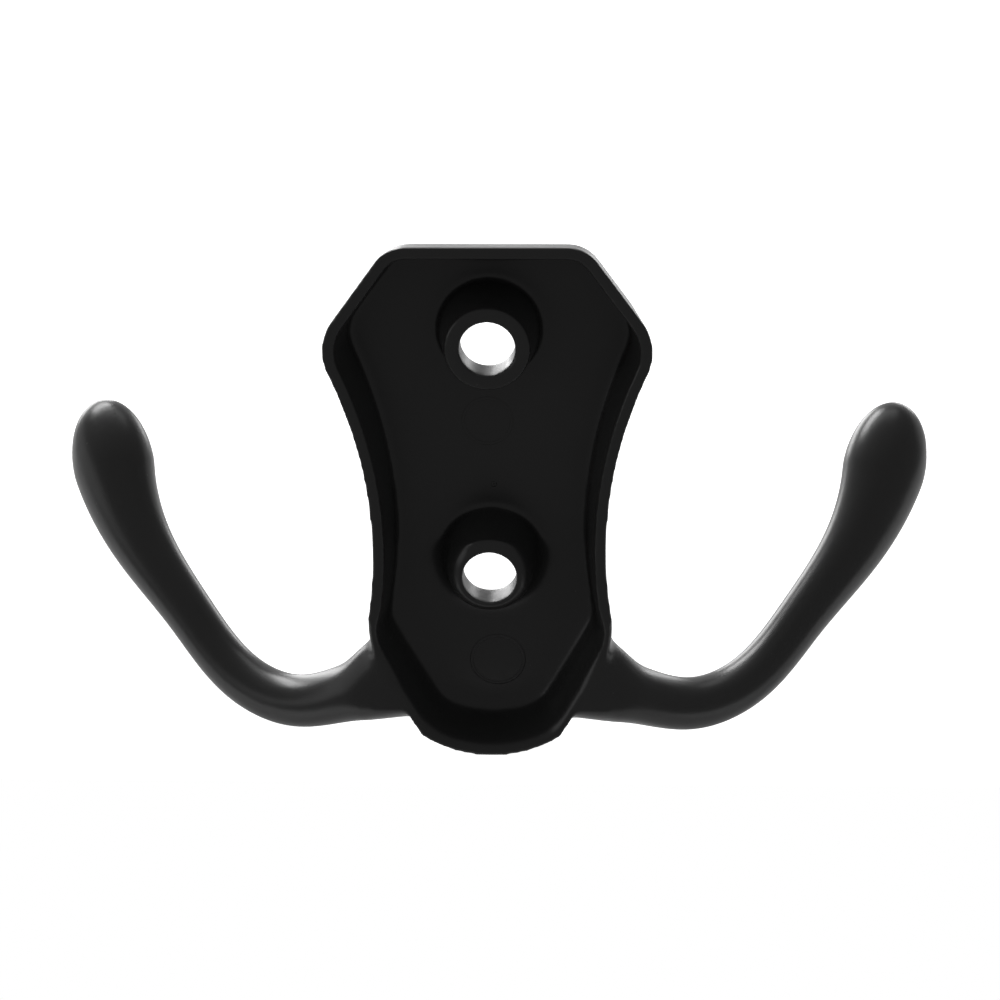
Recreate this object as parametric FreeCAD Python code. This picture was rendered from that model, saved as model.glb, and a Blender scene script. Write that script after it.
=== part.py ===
import FreeCAD, Part
import math, os

V = FreeCAD.Vector

# Double robe hook, cast in one piece.  Millimetres, +Z up.
# The origin is midway between the two screw holes, on the wall plane y = 0.
# The wall is on the +Y side, so the front face and both arms reach towards -Y.

# Screw holes
screw_spacing = 22.0        # upper to lower hole, centre to centre
bore_r = 2.45               # hole radius
bore_edge = 0.15            # bevel where the hole opens to the wall
neck_depth = 3.1            # length of the bore, up to the countersink
countersink_angle = 60.0    # full angle of the countersink, open to the front

# Back plate: outline on the wall plane, given by its sharp corners
top_z = 20.45               # top edge
top_half_width = 8.7
shoulder_half_width = 15.35 # where the upper diagonal meets the hollow side
shoulder_z = 11.2
waist_half_width = 10.6     # narrowest place of the hollow side
waist_z = -8.2
hip_z = -17.6               # where the hollow side meets the lower diagonal
foot_half_width = 6.5       # where the lower diagonal meets the rounded foot
foot_z = -27.0
bottom_z = -29.1            # lowest point of the rounded foot
top_corner_r = 3.2
shoulder_corner_r = 5.0
hip_corner_r = 3.0
foot_corner_r = 2.2
corner_reach = 2.5          # how far a rounded corner's edge may lie from its height

# Back plate: section
plate_depth = 7.6           # wall plane to front face
flank_inset = 1.2           # how far the front face lies inside the outline
flank_drop = 2.05           # the same at the top edge, which slopes more
front_edge_r = 1.6
rim_width = 1.12            # flat rim that meets the wall
floor_thickness = 1.7       # between the hollow in the back and the front face
pocket_inset = 0.75         # draft of the hollow's wall over its depth
pocket_drop = 1.45          # the same at the top edge

# Screw bosses that stand in the hollow
boss_gap = 0.1              # boss top below the rim plane
boss_r_top = 3.8
boss_wall = 0.55            # between the countersink and the boss's side, at the hollow's floor
boss_foot = 0.8             # how far the boss runs on below the floor

# Arms: stations of the centre line, each with the arm's size above and below that line
# and half its thickness.  Given for the arm on the +X side, from inside the plate outwards.
arm_stations = [
    (V(5.5, -2.7, -22.9), 4.8, 3.1, 3.3),
    (V(9.6, -3.0, -23.3), 5.2, 2.95, 3.25),
    (V(11.4, -3.2, -23.65), 4.5, 2.95, 3.2),
    (V(12.6, -3.5, -23.95), 3.2, 2.9, 3.1),
    (V(14.6, -4.15, -24.75), 2.35, 2.75, 2.95),
    (V(18.4, -5.5, -26.15), 2.35, 2.45, 2.7),
    (V(24.1, -8.6, -25.2), 2.35, 2.35, 2.45),
    (V(29.3, -12.6, -20.5), 2.38, 2.38, 2.4),
    (V(34.3, -17.0, -15.0), 3.05, 3.05, 2.75),
    (V(37.3, -21.6, -9.4), 4.0, 4.0, 3.35),
]
tip_length = 7.4            # from the fattest section to the very tip
tip_turn = 84.0             # degrees of the tip's rounding up to its small flat end
ring_points = 12            # points round each oval section
arm_sections = 18           # sections from the plate to the fattest one
tip_sections = 6            # sections that round off the tip

margin = 2.0                # how far a cutting tool stands clear of the casting
block_size = 200.0          # larger than the casting

pocket_depth = plate_depth - floor_thickness    # depth of the hollow in the back

# Radius of the hollow side, which runs through the shoulder and stands upright at the waist
shoulder_reach = shoulder_half_width - waist_half_width
waist_r = (shoulder_reach ** 2 + (shoulder_z - waist_z) ** 2) / (2 * shoulder_reach)


def plate_outline(inset, drop, depth):
    """Plate outline with sharp corners and full flanks, depth in front of the wall.

    It is moved inwards by inset, and its top edge by drop.
    """
    reach = math.sqrt(waist_r ** 2 - (hip_z - waist_z) ** 2)
    hip_x = waist_half_width + waist_r - reach
    fall = (top_z - shoulder_z) / (shoulder_half_width - top_half_width)
    rise = (hip_z - foot_z) / (hip_x - foot_half_width)
    side_x = (shoulder_z - hip_z + fall * shoulder_half_width + rise * hip_x) / (fall + rise)
    lower = drop - inset
    top = V(top_half_width + lower / fall, 0, top_z - lower)
    side = V(side_x, 0, hip_z + rise * (side_x - hip_x))
    foot = V(foot_half_width, 0, foot_z)
    bottom = V(0, 0, bottom_z)

    def left(p):
        return V(-p.x, p.y, p.z)

    wire = Part.Wire([
        Part.LineSegment(left(top), top).toShape(),
        Part.LineSegment(top, side).toShape(),
        Part.LineSegment(side, foot).toShape(),
        Part.Arc(foot, bottom, left(foot)).toShape(),
        Part.LineSegment(left(foot), left(side)).toShape(),
        Part.LineSegment(left(side), left(top)).toShape(),
    ])
    if inset:
        wire = wire.makeOffset2D(-inset, join=2)
    wire.translate(V(0, -depth, 0))
    return wire


def waist(side, back, front):
    """Cone that hollows one side of a block with the given ends, side +1 or -1."""
    slope = (front[0] - back[0]) / (front[2] - back[2])
    radii = [waist_r + back[0] - slope * margin, waist_r + front[0] + slope * margin]
    return Part.makeCone(*radii, front[2] - back[2] + 2 * margin,
                         V(side * (waist_half_width + waist_r), margin - back[2], waist_z), V(0, -1, 0))


def plate_block(back, front, corner_cut):
    """Block with the plate's outline, sloping flanks and rounded corners.

    back and front are the outline's inset, drop and depth at each end.
    """
    block = Part.makeLoft([plate_outline(*back), plate_outline(*front)], True, True)
    block = block.cut([waist(side, back, front) for side in (1, -1)])
    corners = [(top_z, top_corner_r), (shoulder_z, shoulder_corner_r),
               (hip_z, hip_corner_r), (foot_z, foot_corner_r)]
    for height, radius in corners:
        edges = [e for e in block.Edges if runs_to_front(e) and near_height(e, height)]
        block = block.makeFillet(radius - corner_cut, edges)
    return block.Solids[0]


def plate():
    """Solid plate with a rounded front edge."""
    block = plate_block((0.0, 0.0, 0.0), (flank_inset, flank_drop, plate_depth), 0.0)
    front = [e for e in block.Edges if all(abs(v.Point.y + plate_depth) < 1e-4 for v in e.Vertexes)]
    return block.makeFillet(front_edge_r, front)


def runs_to_front(edge):
    """True for an edge that joins the back of a block to its front."""
    return abs(edge.Vertexes[0].Point.y - edge.Vertexes[-1].Point.y) > 1.0


def near_height(edge, height):
    """True for an edge whose outer end lies near a corner's height."""
    return min(abs(v.Point.z - height) for v in edge.Vertexes) < corner_reach


def oval(centre, forward, above, below, half_thickness):
    """Closed smooth curve round the centre line, square to its direction."""
    up = forward.cross(V(0, 1, 0)).normalize()
    out = up.cross(forward).normalize()
    turns = [i / ring_points for i in range(ring_points + 1)]
    points = []
    for turn in turns[:-1]:
        rise, side = math.cos(2 * math.pi * turn), math.sin(2 * math.pi * turn)
        height = above if rise > 0 else below
        points.append(centre + up * (height * rise) + out * (half_thickness * side))
    curve = Part.BSplineCurve()
    curve.interpolate(Points=points, PeriodicFlag=True, Parameters=turns)
    return curve


def skin(rings):
    """Closed tube of ruled strips from ring to ring, capped flat at both ends."""
    edges = [ring.toShape() for ring in rings]
    strips = [Part.makeRuledSurface(a, b) for a, b in zip(edges, edges[1:])]
    ends = [Part.Face(Part.Wire([edge])) for edge in (edges[0], edges[-1])]
    shell = Part.makeShell([face for strip in strips for face in strip.Faces] + ends)
    shell.sewShape()
    solid = Part.makeSolid(shell)
    if solid.Volume < 0:
        solid.reverse()
    return solid


def arm():
    """Arm on the +X side: an oval bar that sweeps out, forward and up to a rounded tip."""
    line, sizes = Part.BSplineCurve(), Part.BSplineCurve()
    line.interpolate([station[0] for station in arm_stations])
    places = [line.parameter(station[0]) for station in arm_stations]
    sizes.interpolate(Points=[V(*station[1:]) for station in arm_stations], Parameters=places)
    rings = []
    for k in range(arm_sections):
        place = places[0] + (places[-1] - places[0]) * k / (arm_sections - 1)
        rings.append(oval(line.value(place), line.tangent(place)[0], *sizes.value(place)))
    end, size = line.value(places[-1]), sizes.value(places[-1])
    forward = line.tangent(places[-1])[0]
    for k in range(1, tip_sections + 1):
        turn = math.radians(tip_turn) * k / tip_sections
        rings.append(oval(end + forward * (tip_length * math.sin(turn)), forward,
                          *(size * math.cos(turn))))
    return skin(rings)


def boss(height):
    """Tapered boss round one screw hole, from the hollow's floor to just below the rim plane."""
    root = pocket_depth + boss_foot
    slope = (sink_radius(pocket_depth) + boss_wall - boss_r_top) / (pocket_depth - boss_gap)
    radius_root = boss_r_top + slope * (root - boss_gap)
    return Part.makeCone(radius_root, boss_r_top, root - boss_gap, V(0, -root, height), V(0, 1, 0))


def sink_radius(depth):
    """Radius of the countersink at a depth in front of the wall."""
    return bore_r + (depth - neck_depth) * math.tan(math.radians(countersink_angle / 2))


def screw_hole(height):
    """Bore from the back with a bevelled edge, and countersink from the front."""
    bore = Part.makeCylinder(bore_r, neck_depth + margin, V(0, -neck_depth, height), V(0, 1, 0))
    bevel = Part.makeCone(bore_r, bore_r + bore_edge + margin, bore_edge + margin,
                          V(0, -boss_gap - bore_edge, height), V(0, 1, 0))
    front = plate_depth + margin
    sink = Part.makeCone(sink_radius(front), bore_r, front - neck_depth, V(0, -front, height), V(0, 1, 0))
    return bore.fuse([bevel, sink])


def hollow_back():
    """The hollow in the back, with the two bosses left standing in it."""
    draft, drop = pocket_inset / pocket_depth, pocket_drop / pocket_depth
    hollow = plate_block((rim_width - draft * margin, rim_width - drop * margin, -margin),
                         (rim_width + pocket_inset, rim_width + pocket_drop, pocket_depth),
                         rim_width)
    return hollow.cut(Part.makeCompound([boss(z) for z in screw_heights]))


def hook():
    """The whole casting."""
    right = arm()
    left = right.mirror(V(), V(1, 0, 0))
    body = plate().fuse([right, left])
    behind_wall = Part.makeBox(block_size, block_size, block_size,
                               V(-block_size / 2, 0, -block_size / 2))
    body = body.cut([behind_wall, hollow_back()])
    return body.cut(Part.makeCompound([screw_hole(z) for z in screw_heights]))


screw_heights = [screw_spacing / 2, -screw_spacing / 2]
os.makedirs("parts", exist_ok=True)
casting = hook()
casting.exportStep("parts/double_robe_hook.step")
print("valid", casting.isValid(), "solids", len(casting.Solids),
      "volume", round(casting.Volume, 1), "faces", len(casting.Faces))
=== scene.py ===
import math

import bmesh
import bpy
import numpy as np
from mathutils import Matrix, Vector


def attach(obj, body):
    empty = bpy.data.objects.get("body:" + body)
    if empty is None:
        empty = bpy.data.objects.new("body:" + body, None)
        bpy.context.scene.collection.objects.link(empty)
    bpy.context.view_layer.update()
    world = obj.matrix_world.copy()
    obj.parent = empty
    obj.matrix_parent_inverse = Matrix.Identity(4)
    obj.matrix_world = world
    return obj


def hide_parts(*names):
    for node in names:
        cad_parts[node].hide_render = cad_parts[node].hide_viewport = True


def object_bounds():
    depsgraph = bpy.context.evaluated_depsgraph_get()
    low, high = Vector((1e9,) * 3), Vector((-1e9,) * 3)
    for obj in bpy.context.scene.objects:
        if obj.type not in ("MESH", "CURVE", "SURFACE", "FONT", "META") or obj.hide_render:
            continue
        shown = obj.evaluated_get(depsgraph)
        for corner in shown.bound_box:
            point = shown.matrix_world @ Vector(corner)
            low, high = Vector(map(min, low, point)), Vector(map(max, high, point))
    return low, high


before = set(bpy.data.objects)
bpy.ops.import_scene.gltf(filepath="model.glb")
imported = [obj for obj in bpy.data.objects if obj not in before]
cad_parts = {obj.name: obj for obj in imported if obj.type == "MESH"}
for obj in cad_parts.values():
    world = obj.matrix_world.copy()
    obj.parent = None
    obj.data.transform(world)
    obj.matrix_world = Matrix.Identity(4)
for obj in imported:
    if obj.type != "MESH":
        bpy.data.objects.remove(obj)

MM = 0.001
cad_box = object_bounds()

# Sizes of the hook that the finish needs to know, as in the CAD
screw_spacing = 22.0 * MM
bore_r = 2.45 * MM
neck_depth = 3.1 * MM
pocket_depth = 5.9 * MM

# Plate outline on the wall plane, in millimetres, as in the CAD: heights and half widths
top_z, top_half_width = 20.45, 8.7
shoulder_z, shoulder_half_width = 11.2, 15.35
waist_z, waist_half_width = -8.2, 10.6
hip_z, hip_half_width = -17.6, 11.67
foot_z, foot_half_width = -27.0, 6.5
bottom_z = -29.1
rim_width = 1.12
wall_lean = 0.14            # how much further in the wall's middle lies, per depth
top_wall_lean = 0.26        # the same at the top edge
crotch_x, crotch_z = 12.0, -19.4    # where an arm's upper side meets the flank

# Where the paint's pooling starts and where it is full, in millimetres
rim_fade = -0.1, 0.5        # inwards from the middle of the rim
bore_fade = 2.6, 3.3        # outwards from a screw's axis
crotch_fade = 1.6, 4.6      # outwards from a crotch, where it is full and where it ends

# Arm on the +X side: stations of its centre line, each with its size above and below that
# line and half its thickness, in millimetres
arm_stations = np.array([
    (5.5, -2.7, -22.9, 4.8, 3.1, 3.3),
    (9.6, -3.0, -23.3, 5.2, 2.95, 3.25),
    (11.4, -3.2, -23.65, 4.5, 2.95, 3.2),
    (12.6, -3.5, -23.95, 3.2, 2.9, 3.1),
    (14.6, -4.15, -24.75, 2.35, 2.75, 2.95),
    (18.4, -5.5, -26.15, 2.35, 2.45, 2.7),
    (24.1, -8.6, -25.2, 2.35, 2.35, 2.45),
    (29.3, -12.6, -20.5, 2.38, 2.38, 2.4),
    (34.3, -17.0, -15.0, 3.05, 3.05, 2.75),
    (37.3, -21.6, -9.4, 4.0, 4.0, 3.35),
])
tip_length = 7.4            # from the fattest section to the very tip
tip_turn = 84.0             # degrees of the tip's rounding
tip_swell = 0.4             # share of the arm's growth that runs on into the tip
arm_start = 11.4            # where the smooth arm begins, inside the plate's own root
arm_cut, arm_cut_z = 12.4, -24.0    # where the CAD's arm is cut off, just outside the flank
cut_lean = 6.6              # degrees that this cut leans outwards to pass the shoulder
arm_rings = 150             # sections up to the fattest one
tip_rings = 32              # sections that round off the tip
ring_points = 64            # points round each section

# The casting's surface
voxel = 0.21 * MM           # grain of the softened casting
kept_share = 0.56           # share of its triangles that are kept
box_margin = 0.002 * MM     # how far it stays inside the casting's box
worn_rounds = 8             # rounds of drawing together that wear every edge round
worn_share = 0.5            # share of the way to its neighbours a point goes in each of them
pooled_rounds = 100         # rounds that fill the hollow's corners and the crotches besides
pooled_reach = 0.9          # share of the way in each of these, at the most
merge_reach = 0.002 * MM    # points of the CAD mesh closer than this are one

# Rings left by ejector pins below the lower boss and, fainter, the upper one, and a small mark
# between them: x, z, radius, width and height, in millimetres
pin_marks = [
    (-0.49, -21.9, 2.45, 0.32, 0.045),
    (0.25, 2.1, 2.2, 0.30, 0.02),
    (-0.28, -4.1, 0.14, 0.26, 0.06),
]
ring_turns = 96             # points round the ring
ring_corners = 12           # points round its ellipse
ring_margin = 1.0 * MM      # how far outside the ring the floor under it is looked up
floor_reach = 0.5 * MM      # how far below the hollow's depth that floor may lie

# Paint and bare metal
paint_grey, speck_grey = 0.040, 0.09
metal_greys = 0.10, 0.20        # darkest and lightest
paint_roughness = 0.28, 0.32    # smoothest and roughest
metal_roughness = 0.14          # how much rougher the bare metal is
paint_ior = 1.6

# Studio, lengths in metres
floor_gap = 0.5 * MM        # between the hook's lowest point and the floor
stage_reach = 3.0           # half the stage's width
floor_front = 0.004         # how far the floor runs towards the camera
backdrop_distance = 1.2     # from the wall plane
backdrop_height = 1.0
ground_grey = 0.80          # of the floor and the backdrop
ground_roughness = 0.9
room_light = 0.135          # level of the room as the hook sees it
lamp_distance = 0.5         # from the hook to each soft box

# Photograph's camera: angles in degrees, lengths in millimetres
sensor_width = 36.0
camera_focal = 103.4
camera_yaw = 2.06
camera_pitch = 23.05
camera_roll = -0.52
camera_distance = 255.4
camera_side = -1.06         # how far the origin lies right of the line of sight
camera_lift = 2.92          # and above it


class Nodes:
    """Short way to add and join the nodes of one material or of the world."""

    def __init__(self, tree):
        self.tree = tree

    def add(self, kind, **values):
        node = self.tree.nodes.new(kind)
        for name, value in values.items():
            setattr(node, name, value)
        return node

    def join(self, source, target):
        self.tree.links.new(source, target)

    def feed(self, socket, value):
        if isinstance(value, bpy.types.NodeSocket):
            self.join(value, socket)
        else:
            socket.default_value = value

    def math(self, operation, *values):
        node = self.add("ShaderNodeMath", operation=operation)
        for socket, value in zip(node.inputs, values):
            self.feed(socket, value)
        return node.outputs[0]

    def between(self, value, low, high, to_low=0.0, to_high=1.0):
        """value mapped from low..high to to_low..to_high, smoothly, and held outside."""
        node = self.add("ShaderNodeMapRange", interpolation_type="SMOOTHSTEP")
        for name, number in zip(("Value", "From Min", "From Max", "To Min", "To Max"),
                                (value, low, high, to_low, to_high)):
            self.feed(node.inputs[name], number)
        return node.outputs[0]

    def noise(self, place, size, detail=2.0, roughness=0.5):
        """Noise whose grains are about size metres."""
        node = self.add("ShaderNodeTexNoise")
        self.join(place, node.inputs["Vector"])
        node.inputs["Scale"].default_value = 1.0 / size
        node.inputs["Detail"].default_value = detail
        node.inputs["Roughness"].default_value = roughness
        return node.outputs["Fac"]

    def blend(self, factor, first, second):
        node = self.add("ShaderNodeMix", data_type="RGBA")
        self.feed(node.inputs[0], factor)
        self.feed(node.inputs[6], first)
        self.feed(node.inputs[7], second)
        return node.outputs[2]


def grey(value):
    return (value, value, value, 1.0)


def satin_black():
    """Satin black paint on cast metal, rubbed off in the two screw holes."""
    material = bpy.data.materials.new("satin_black_paint")
    material.use_nodes = True
    n = Nodes(material.node_tree)
    shader = n.tree.nodes["Principled BSDF"]
    place = n.add("ShaderNodeTexCoord").outputs["Object"]
    axes = n.add("ShaderNodeSeparateXYZ")
    n.join(place, axes.inputs[0])
    x, y, z = axes.outputs

    # bare metal: within the bore's own radius of either screw's axis
    from_screw = n.math("SUBTRACT", n.math("ABSOLUTE", z), screw_spacing / 2)
    off_axis = n.math("SQRT", n.math("ADD", n.math("MULTIPLY", x, x),
                                     n.math("MULTIPLY", from_screw, from_screw)))
    ragged = n.math("MULTIPLY", n.math("SUBTRACT", n.noise(place, 0.9 * MM, 3.0), 0.5), 0.25 * MM)
    inside = n.between(n.math("ADD", off_axis, ragged), bore_r + 0.02 * MM,
                       bore_r + 0.16 * MM, 1.0, 0.0)
    depth = n.math("ADD", y, n.math("MULTIPLY", ragged, 2.0))
    in_bore = n.between(depth, -neck_depth - 0.25 * MM, -neck_depth + 0.1 * MM)
    bare = n.math("MULTIPLY", inside, in_bore)
    # paint that stayed on the upper hole's wall, on the -X side
    left_over = n.math("MULTIPLY",
                       n.between(n.math("ADD", x, n.math("MULTIPLY", ragged, 4.0)),
                                 -1.9 * MM, -1.4 * MM, 1.0, 0.0),
                       n.between(z, 0.0, 1.0 * MM))
    bare = n.math("MULTIPLY", bare, n.math("SUBTRACT", 1.0, left_over))

    # paint: nearly even black, with a cloudy sheen and a few specks of dust
    cloudy = n.noise(place, 7.0 * MM, 3.0)
    specks = n.between(n.noise(place, 0.42 * MM, 1.0), 0.79, 0.82)
    black = n.blend(specks, grey(paint_grey), grey(speck_grey))
    metal = n.blend(n.noise(place, 0.5 * MM, 4.0), *map(grey, metal_greys))
    n.join(n.blend(bare, black, metal), shader.inputs["Base Color"])
    n.join(bare, shader.inputs["Metallic"])
    sheen = n.between(cloudy, 0.3, 0.7, *paint_roughness)
    rough = n.math("ADD", sheen, n.math("MULTIPLY", bare, metal_roughness))
    n.join(rough, shader.inputs["Roughness"])
    shader.inputs["IOR"].default_value = paint_ior

    # skin of the casting under the paint
    fine = n.noise(place, 0.32 * MM, 3.0, 0.6)
    wavy = n.noise(place, 3.2 * MM, 2.0)
    relief = n.math("ADD", n.math("MULTIPLY", fine, 0.010), n.math("MULTIPLY", wavy, 0.05))
    bump = n.add("ShaderNodeBump")
    bump.inputs["Strength"].default_value = 0.35
    bump.inputs["Distance"].default_value = 1.0 * MM
    n.join(relief, bump.inputs["Height"])
    n.join(bump.outputs[0], shader.inputs["Normal"])
    return material


def white_ground(name, seen_strength, mirrored_strength):
    """Pale floor or backdrop: nearly white to the camera by itself, and dimmer in reflections."""
    material = bpy.data.materials.new(name)
    material.use_nodes = True
    n = Nodes(material.node_tree)
    shader = n.tree.nodes["Principled BSDF"]
    shader.inputs["Base Color"].default_value = grey(ground_grey)
    shader.inputs["Roughness"].default_value = ground_roughness
    path = n.add("ShaderNodeLightPath")
    seen = n.math("MULTIPLY", path.outputs["Is Camera Ray"], seen_strength)
    mirrored = n.math("MULTIPLY", path.outputs["Is Glossy Ray"], mirrored_strength)
    shader.inputs["Emission Color"].default_value = grey(1.0)
    n.join(n.math("ADD", seen, mirrored), shader.inputs["Emission Strength"])
    return material


def mesh_from(name, points, faces):
    """Mesh from an array of points (n, 3) and a list of faces."""
    mesh = bpy.data.meshes.new(name)
    mesh.from_pydata(points.tolist(), [], faces)
    return mesh


def smooth_object(name, mesh):
    """Object that shows a mesh with smooth shading."""
    mesh.polygons.foreach_set("use_smooth", np.ones(len(mesh.polygons), dtype=bool))
    mesh.update()
    piece = bpy.data.objects.new(name, mesh)
    bpy.context.scene.collection.objects.link(piece)
    return piece


def read_array(items, name, width, kind=float):
    """One value of all points, edges or faces as an array (n, width)."""
    values = np.empty(len(items) * width, dtype=kind)
    items.foreach_get(name, values)
    return values.reshape(-1, width)


def closed_grid(columns, rows):
    """Faces of a grid that closes on itself both ways, columns by rows points."""
    i, j = np.meshgrid(np.arange(columns), np.arange(rows), indexing="ij")
    across, along = (i + 1) % columns, (j + 1) % rows
    corners = [i * rows + j, across * rows + j, across * rows + along, i * rows + along]
    return np.stack([c.ravel() for c in corners], axis=1).tolist()


def pin_ring(name, mark, casting):
    """Witness ring of an ejector pin.

    A flat ellipse, width wide and 2 * height deep, carried round a circle of radius r:
    x + (r + width/2 cos b) cos a, z + (r + width/2 cos b) sin a, and y = floor + height sin b,
    where floor is how high the casting's nearest point lies.
    """
    x, z, r, width, height = np.array(mark) * MM
    a = np.linspace(0, 2 * np.pi, ring_turns, endpoint=False)[:, None]
    b = np.linspace(0, 2 * np.pi, ring_corners, endpoint=False)[None, :]
    cast = read_array(casting.data.vertices, "co", 3)
    near = np.hypot(cast[:, 0] - x, cast[:, 2] - z) < r + ring_margin
    cast = cast[near & (cast[:, 1] > -pocket_depth - floor_reach)]
    middle_x, middle_z = x + r * np.cos(a), z + r * np.sin(a)
    nearest = np.hypot(cast[:, 0] - middle_x, cast[:, 2] - middle_z).argmin(axis=1)
    floor = cast[nearest, 1][:, None]
    radius = r + width / 2 * np.cos(b)
    points = np.stack([x + radius * np.cos(a), floor + height * np.sin(b),
                       z + radius * np.sin(a)], axis=-1).reshape(-1, 3)
    return smooth_object(name, mesh_from(name, points, closed_grid(ring_turns, ring_corners)))


def end_slope(knots, values, end):
    """Slope, at the knot end, of the cubic through four points."""
    return np.polyfit(knots - end, values, 3)[2]


def spline(knots, values, at):
    """Smooth curve through the rows of values at knots, read at the numbers in at.

    Between two knots it is a p0 + b p1 + ((a^3 - a) m0 + (b^3 - b) m1) h^2 / 6, with
    b = (t - t0) / h and a = 1 - b.  The bends m make the slopes agree at each knot, and at
    either end agree with the cubic through the four points there.
    """
    step = np.diff(knots)
    slope = np.vstack([end_slope(knots[:4], values[:4], knots[0]),
                       np.diff(values, axis=0) / step[:, None],
                       end_slope(knots[-4:], values[-4:], knots[-1])])
    padded = np.pad(step, 1)
    system = np.diag(2 * (padded[:-1] + padded[1:])) + np.diag(step, 1) + np.diag(step, -1)
    bend = np.linalg.solve(system, 6 * np.diff(slope, axis=0))
    k = np.clip(np.searchsorted(knots, at) - 1, 0, len(step) - 1)
    h = step[k][:, None]
    b = (at - knots[k])[:, None] / h
    a = 1 - b
    return (a * values[k] + b * values[k + 1]
            + ((a ** 3 - a) * bend[k] + (b ** 3 - b) * bend[k + 1]) * h ** 2 / 6)


def arm_sections():
    """Sections of the +X arm: centre, direction, and sizes above, below and thick.

    Up to the last station they follow the spline.  From there the tip's sections lie
    tip_length * sin u further on, for u from 0 to tip_turn.  Their sizes are multiplied by
    cos u and gain g sin u (1 - u / tip_turn), where g is tip_length * tip_swell times the
    slope that they had at the last station.
    """
    gaps = np.linalg.norm(np.diff(arm_stations[:, :3], axis=0), axis=1)
    knots = np.concatenate([[0.0], np.cumsum(gaps)])
    first = np.interp(arm_start, arm_stations[:, 0], knots)
    along = np.linspace(first, knots[-1], arm_rings)
    rows = spline(knots, arm_stations, along)
    forward = np.gradient(rows[:, :3], along, axis=0, edge_order=2)
    forward /= np.linalg.norm(forward, axis=1)[:, None]
    part = np.linspace(0, 1, tip_rings + 1)[1:, None]
    u = np.radians(tip_turn * part)
    slope = (rows[-1, 3:] - rows[-2, 3:]) / (along[-1] - along[-2])
    gain = slope * tip_length * tip_swell
    tip = np.hstack([rows[-1, :3] + forward[-1] * tip_length * np.sin(u),
                     rows[-1, 3:] * np.cos(u) + gain * np.sin(u) * (1 - part)])
    forward = np.vstack([forward, np.repeat(forward[-1:], tip_rings, axis=0)])
    return np.vstack([rows, tip]), forward


def smooth_arm(side):
    """Points and faces of a whole arm in metres, side +1 for +X and -1 for -X.

    Round each section it is centre + up * size * cos v + out * thick * sin v, where size is
    the one above for cos v > 0 and the one below elsewhere.  Both ends are closed flat.
    """
    rows, forward = arm_sections()
    up = np.cross(forward, [0.0, 1.0, 0.0])
    up /= np.linalg.norm(up, axis=1)[:, None]
    out = np.cross(up, forward)
    v = np.linspace(0, 2 * np.pi, ring_points, endpoint=False)[None, :, None]
    above, below, thick = (rows[:, None, k, None] for k in (3, 4, 5))
    points = (rows[:, None, :3] + up[:, None] * np.where(np.cos(v) > 0, above, below) * np.cos(v)
              + out[:, None] * thick * np.sin(v))
    points = points.reshape(-1, 3) * [side * MM, MM, MM]
    points[:, 1] = np.minimum(points[:, 1], 0.0)
    i, j = np.meshgrid(np.arange(len(rows) - 1), np.arange(ring_points), indexing="ij")
    here, there = i * ring_points, (j + 1) % ring_points
    corners = [here + j, here + there, here + ring_points + there, here + ring_points + j]
    faces = np.stack([c.ravel() for c in corners], axis=1)[:, ::side].tolist()
    first, last = np.arange(ring_points)[::-side], np.arange(-ring_points, 0)[::side] + len(points)
    return points, faces + [first.tolist(), last.tolist()]


def plate_shape(node):
    """The casting's own mesh, merged, with both arms cut off flat where the smooth arms start."""
    shape = bmesh.new()
    shape.from_mesh(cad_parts[node].data)
    bmesh.ops.remove_doubles(shape, verts=shape.verts, dist=merge_reach)
    lean = math.radians(cut_lean)
    for side in (1, -1):
        bmesh.ops.bisect_plane(shape, geom=shape.verts[:] + shape.edges[:] + shape.faces[:],
                               dist=1e-7, plane_co=(side * arm_cut * MM, 0, arm_cut_z * MM),
                               plane_no=(side * math.cos(lean), 0, -math.sin(lean)),
                               clear_outer=True)
    bmesh.ops.holes_fill(shape, edges=shape.edges, sides=0)
    return shape


def relaxed(points, edges, share, rounds):
    """Points drawn rounds times towards the mean of their neighbours, each by its share."""
    ends = np.concatenate([edges[:, 0], edges[:, 1]])
    others = np.concatenate([edges[:, 1], edges[:, 0]])
    count = np.bincount(ends, minlength=len(points))[:, None]
    for _ in range(rounds):
        sums = [np.bincount(ends, points[others, axis], len(points)) for axis in range(3)]
        points = points + share[:, None] * (np.stack(sums, axis=1) / count - points)
    return points


def ramp(value, low, high):
    """0 below low, 1 above high, and t^2 (3 - 2 t) between."""
    t = np.clip((value - low) / (high - low), 0.0, 1.0)
    return t * t * (3 - 2 * t)


def beside(x, z, start, end):
    """How far points lie to the left of the line from start to end, both as (x, z)."""
    run = np.subtract(end, start) / np.linalg.norm(np.subtract(end, start))
    return run[0] * (z - start[1]) - run[1] * (x - start[0])


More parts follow.
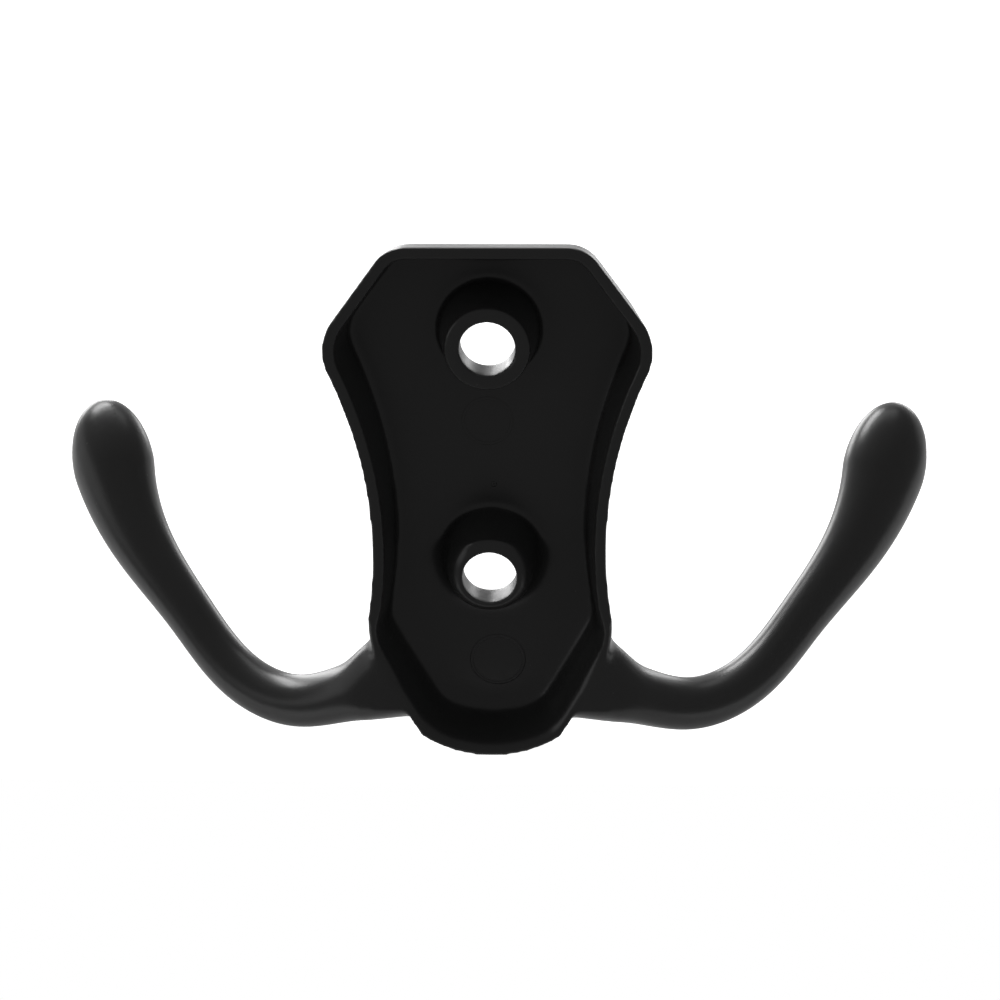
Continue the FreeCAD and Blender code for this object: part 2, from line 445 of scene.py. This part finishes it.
def pooled_share(points):
    """1 in the hollow and at the crotches, falling to 0 across the rim and in the bores.

    How far a point lies inside the outline is the least of its distances to the top edge,
    the upper diagonal, the waist's circle, the lower diagonal and the foot's circle.
    """
    x, y, z = np.abs(points[:, 0]) / MM, points[:, 1] / MM, points[:, 2] / MM
    width, height = shoulder_half_width - waist_half_width, shoulder_z - waist_z
    waist_r = (width ** 2 + height ** 2) / (2 * width)
    drop = foot_z - bottom_z
    foot_r = (foot_half_width ** 2 + drop ** 2) / (2 * drop)
    sides = np.minimum.reduce([
        beside(x, z, (shoulder_half_width, shoulder_z), (top_half_width, top_z)),
        np.hypot(x - waist_half_width - waist_r, z - waist_z) - waist_r,
        beside(x, z, (foot_half_width, foot_z), (hip_half_width, hip_z)),
        foot_r - np.hypot(x, z - bottom_z - foot_r),
    ])
    past_wall = np.minimum(sides + wall_lean * y, top_z - z + top_wall_lean * y) - rim_width / 2
    off_axis = np.hypot(x, np.abs(z) - screw_spacing / MM / 2)
    hollow = ramp(past_wall, *rim_fade) * ramp(off_axis, *bore_fade)
    crotch = 1 - ramp(np.hypot(x - crotch_x, z - crotch_z), *crotch_fade)
    return np.maximum(hollow, crotch)


def softened_casting(node):
    """The whole casting in one skin, with its edges worn round and paint pooled in the hollow.

    Plate and arms are fused by a fine remesh.  Its points are then drawn together: strongly
    in the hollow and at the crotches, and a little everywhere.
    """
    shape = plate_shape(node)
    for side in (1, -1):
        arm = mesh_from("smooth_arm", *smooth_arm(side))
        shape.from_mesh(arm)
        bpy.data.meshes.remove(arm)
    rough_mesh = bpy.data.meshes.new("rough_casting")
    shape.to_mesh(rough_mesh)
    shape.free()
    rough = bpy.data.objects.new("rough_casting", rough_mesh)
    bpy.context.scene.collection.objects.link(rough)
    remesh = rough.modifiers.new("grain", "REMESH")
    remesh.mode = "VOXEL"
    remesh.voxel_size = voxel
    finished = rough.evaluated_get(bpy.context.evaluated_depsgraph_get())
    mesh = bpy.data.meshes.new_from_object(finished)
    bpy.data.objects.remove(rough)
    bpy.data.meshes.remove(rough_mesh)

    points = read_array(mesh.vertices, "co", 3)
    edges = read_array(mesh.edges, "vertices", 2, np.int32)
    points = relaxed(points, edges, pooled_reach * pooled_share(points), pooled_rounds)
    points = relaxed(points, edges, np.full(len(points), worn_share), worn_rounds)
    points = np.clip(points, np.array(cad_box[0]) + box_margin, np.array(cad_box[1]) - box_margin)
    mesh.vertices.foreach_set("co", points.ravel())
    piece = smooth_object("hook_casting", mesh)
    piece.modifiers.new("thin", "DECIMATE").ratio = kept_share
    return piece


def soft_box(name, azimuth, elevation, size, radiance):
    """Soft box of size width x height, seen from the hook at azimuth and elevation.

    Azimuth 0 lies on the camera's side (+Y) and 90 on the photograph's left (+X).
    Its power is pi times its area times its radiance, where 1 looks white.
    """
    az, el = math.radians(azimuth), math.radians(elevation)
    towards = Vector((math.sin(az) * math.cos(el), math.cos(az) * math.cos(el), math.sin(el)))
    lamp = bpy.data.lights.new(name, "AREA")
    lamp.shape = "RECTANGLE"
    lamp.size, lamp.size_y = size
    lamp.energy = radiance * math.pi * size[0] * size[1]
    holder = bpy.data.objects.new(name, lamp)
    holder.location = towards * lamp_distance
    holder.rotation_euler = (-towards).to_track_quat("-Z", "Y").to_euler()
    bpy.context.scene.collection.objects.link(holder)


def photo_camera():
    """Camera that sees the hook's back as the photograph does."""
    yaw, pitch, roll = (math.radians(a) for a in (camera_yaw, camera_pitch, camera_roll))
    forward = Vector((math.sin(yaw) * math.cos(pitch), -math.cos(yaw) * math.cos(pitch),
                      -math.sin(pitch)))
    level = Vector((-math.cos(yaw), -math.sin(yaw), 0.0))
    upward = level.cross(forward)
    right = math.cos(roll) * level + math.sin(roll) * upward
    up = -math.sin(roll) * level + math.cos(roll) * upward
    place = -(right * camera_side + up * camera_lift + forward * camera_distance) * MM
    lens = bpy.data.cameras.new("photo_camera")
    lens.sensor_width = sensor_width
    lens.lens = camera_focal
    lens.clip_start = 0.01
    holder = bpy.data.objects.new("photo_camera", lens)
    turn = Matrix((right, up, -forward)).transposed().to_4x4()
    holder.matrix_world = Matrix.Translation(place) @ turn
    bpy.context.scene.collection.objects.link(holder)
    bpy.context.scene.camera = holder


def flat_sheet(name, corner, across, up, material):
    """Flat stage sheet: points corner + i * across + j * up for i and j in 0 and 1."""
    i, j = np.meshgrid([0.0, 1.0], [0.0, 1.0], indexing="ij")
    points = (np.array(corner) + i[..., None] * np.array(across)
              + j[..., None] * np.array(up)).reshape(-1, 3)
    sheet = smooth_object(name, mesh_from(name, points, [[0, 2, 3, 1]]))
    sheet.data.materials.append(material)


def studio():
    """Pale floor and backdrop, a dim room, and soft boxes mostly behind and above the hook."""
    low = cad_box[0][2] - floor_gap
    flat_sheet("floor", (-stage_reach, -stage_reach, low), (2 * stage_reach, 0, 0),
               (0, stage_reach + floor_front, 0), white_ground("pale_floor", 0.97, 0.30))
    flat_sheet("backdrop", (-stage_reach, -backdrop_distance, low), (2 * stage_reach, 0, 0),
               (0, 0, backdrop_height), white_ground("pale_backdrop", 0.95, 0.40))

    world = bpy.data.worlds.new("studio")
    bpy.context.scene.world = world
    world.use_nodes = True
    n = Nodes(world.node_tree)
    sky = n.tree.nodes["Background"]
    seen = n.add("ShaderNodeLightPath").outputs["Is Camera Ray"]
    n.join(n.between(seen, 0.0, 1.0, room_light, 1.0), sky.inputs["Strength"])
    sky.inputs["Color"].default_value = grey(1.0)

    soft_box("key_box", 155, 3, (0.32, 0.22), 4.5)
    soft_box("upper_box", 148, 41, (0.30, 0.16), 8.0)
    soft_box("left_box", 84, 10, (0.50, 0.22), 0.45)
    soft_box("right_box", -158, 5, (0.16, 0.12), 3.0)
    soft_box("rear_box", 180, 60, (0.40, 0.20), 0.8)


node = "double_robe_hook"
black = satin_black()
casting = softened_casting(node)
casting.data.materials.clear()
casting.data.materials.append(black)
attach(casting, "root")
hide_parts(node)

for number, mark in enumerate(pin_marks, 1):
    ring = pin_ring(f"pin_ring_{number}", mark, casting)
    ring.data.materials.append(black)
    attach(ring, "root")

studio()
photo_camera()
bpy.context.scene.view_settings.view_transform = "Standard"
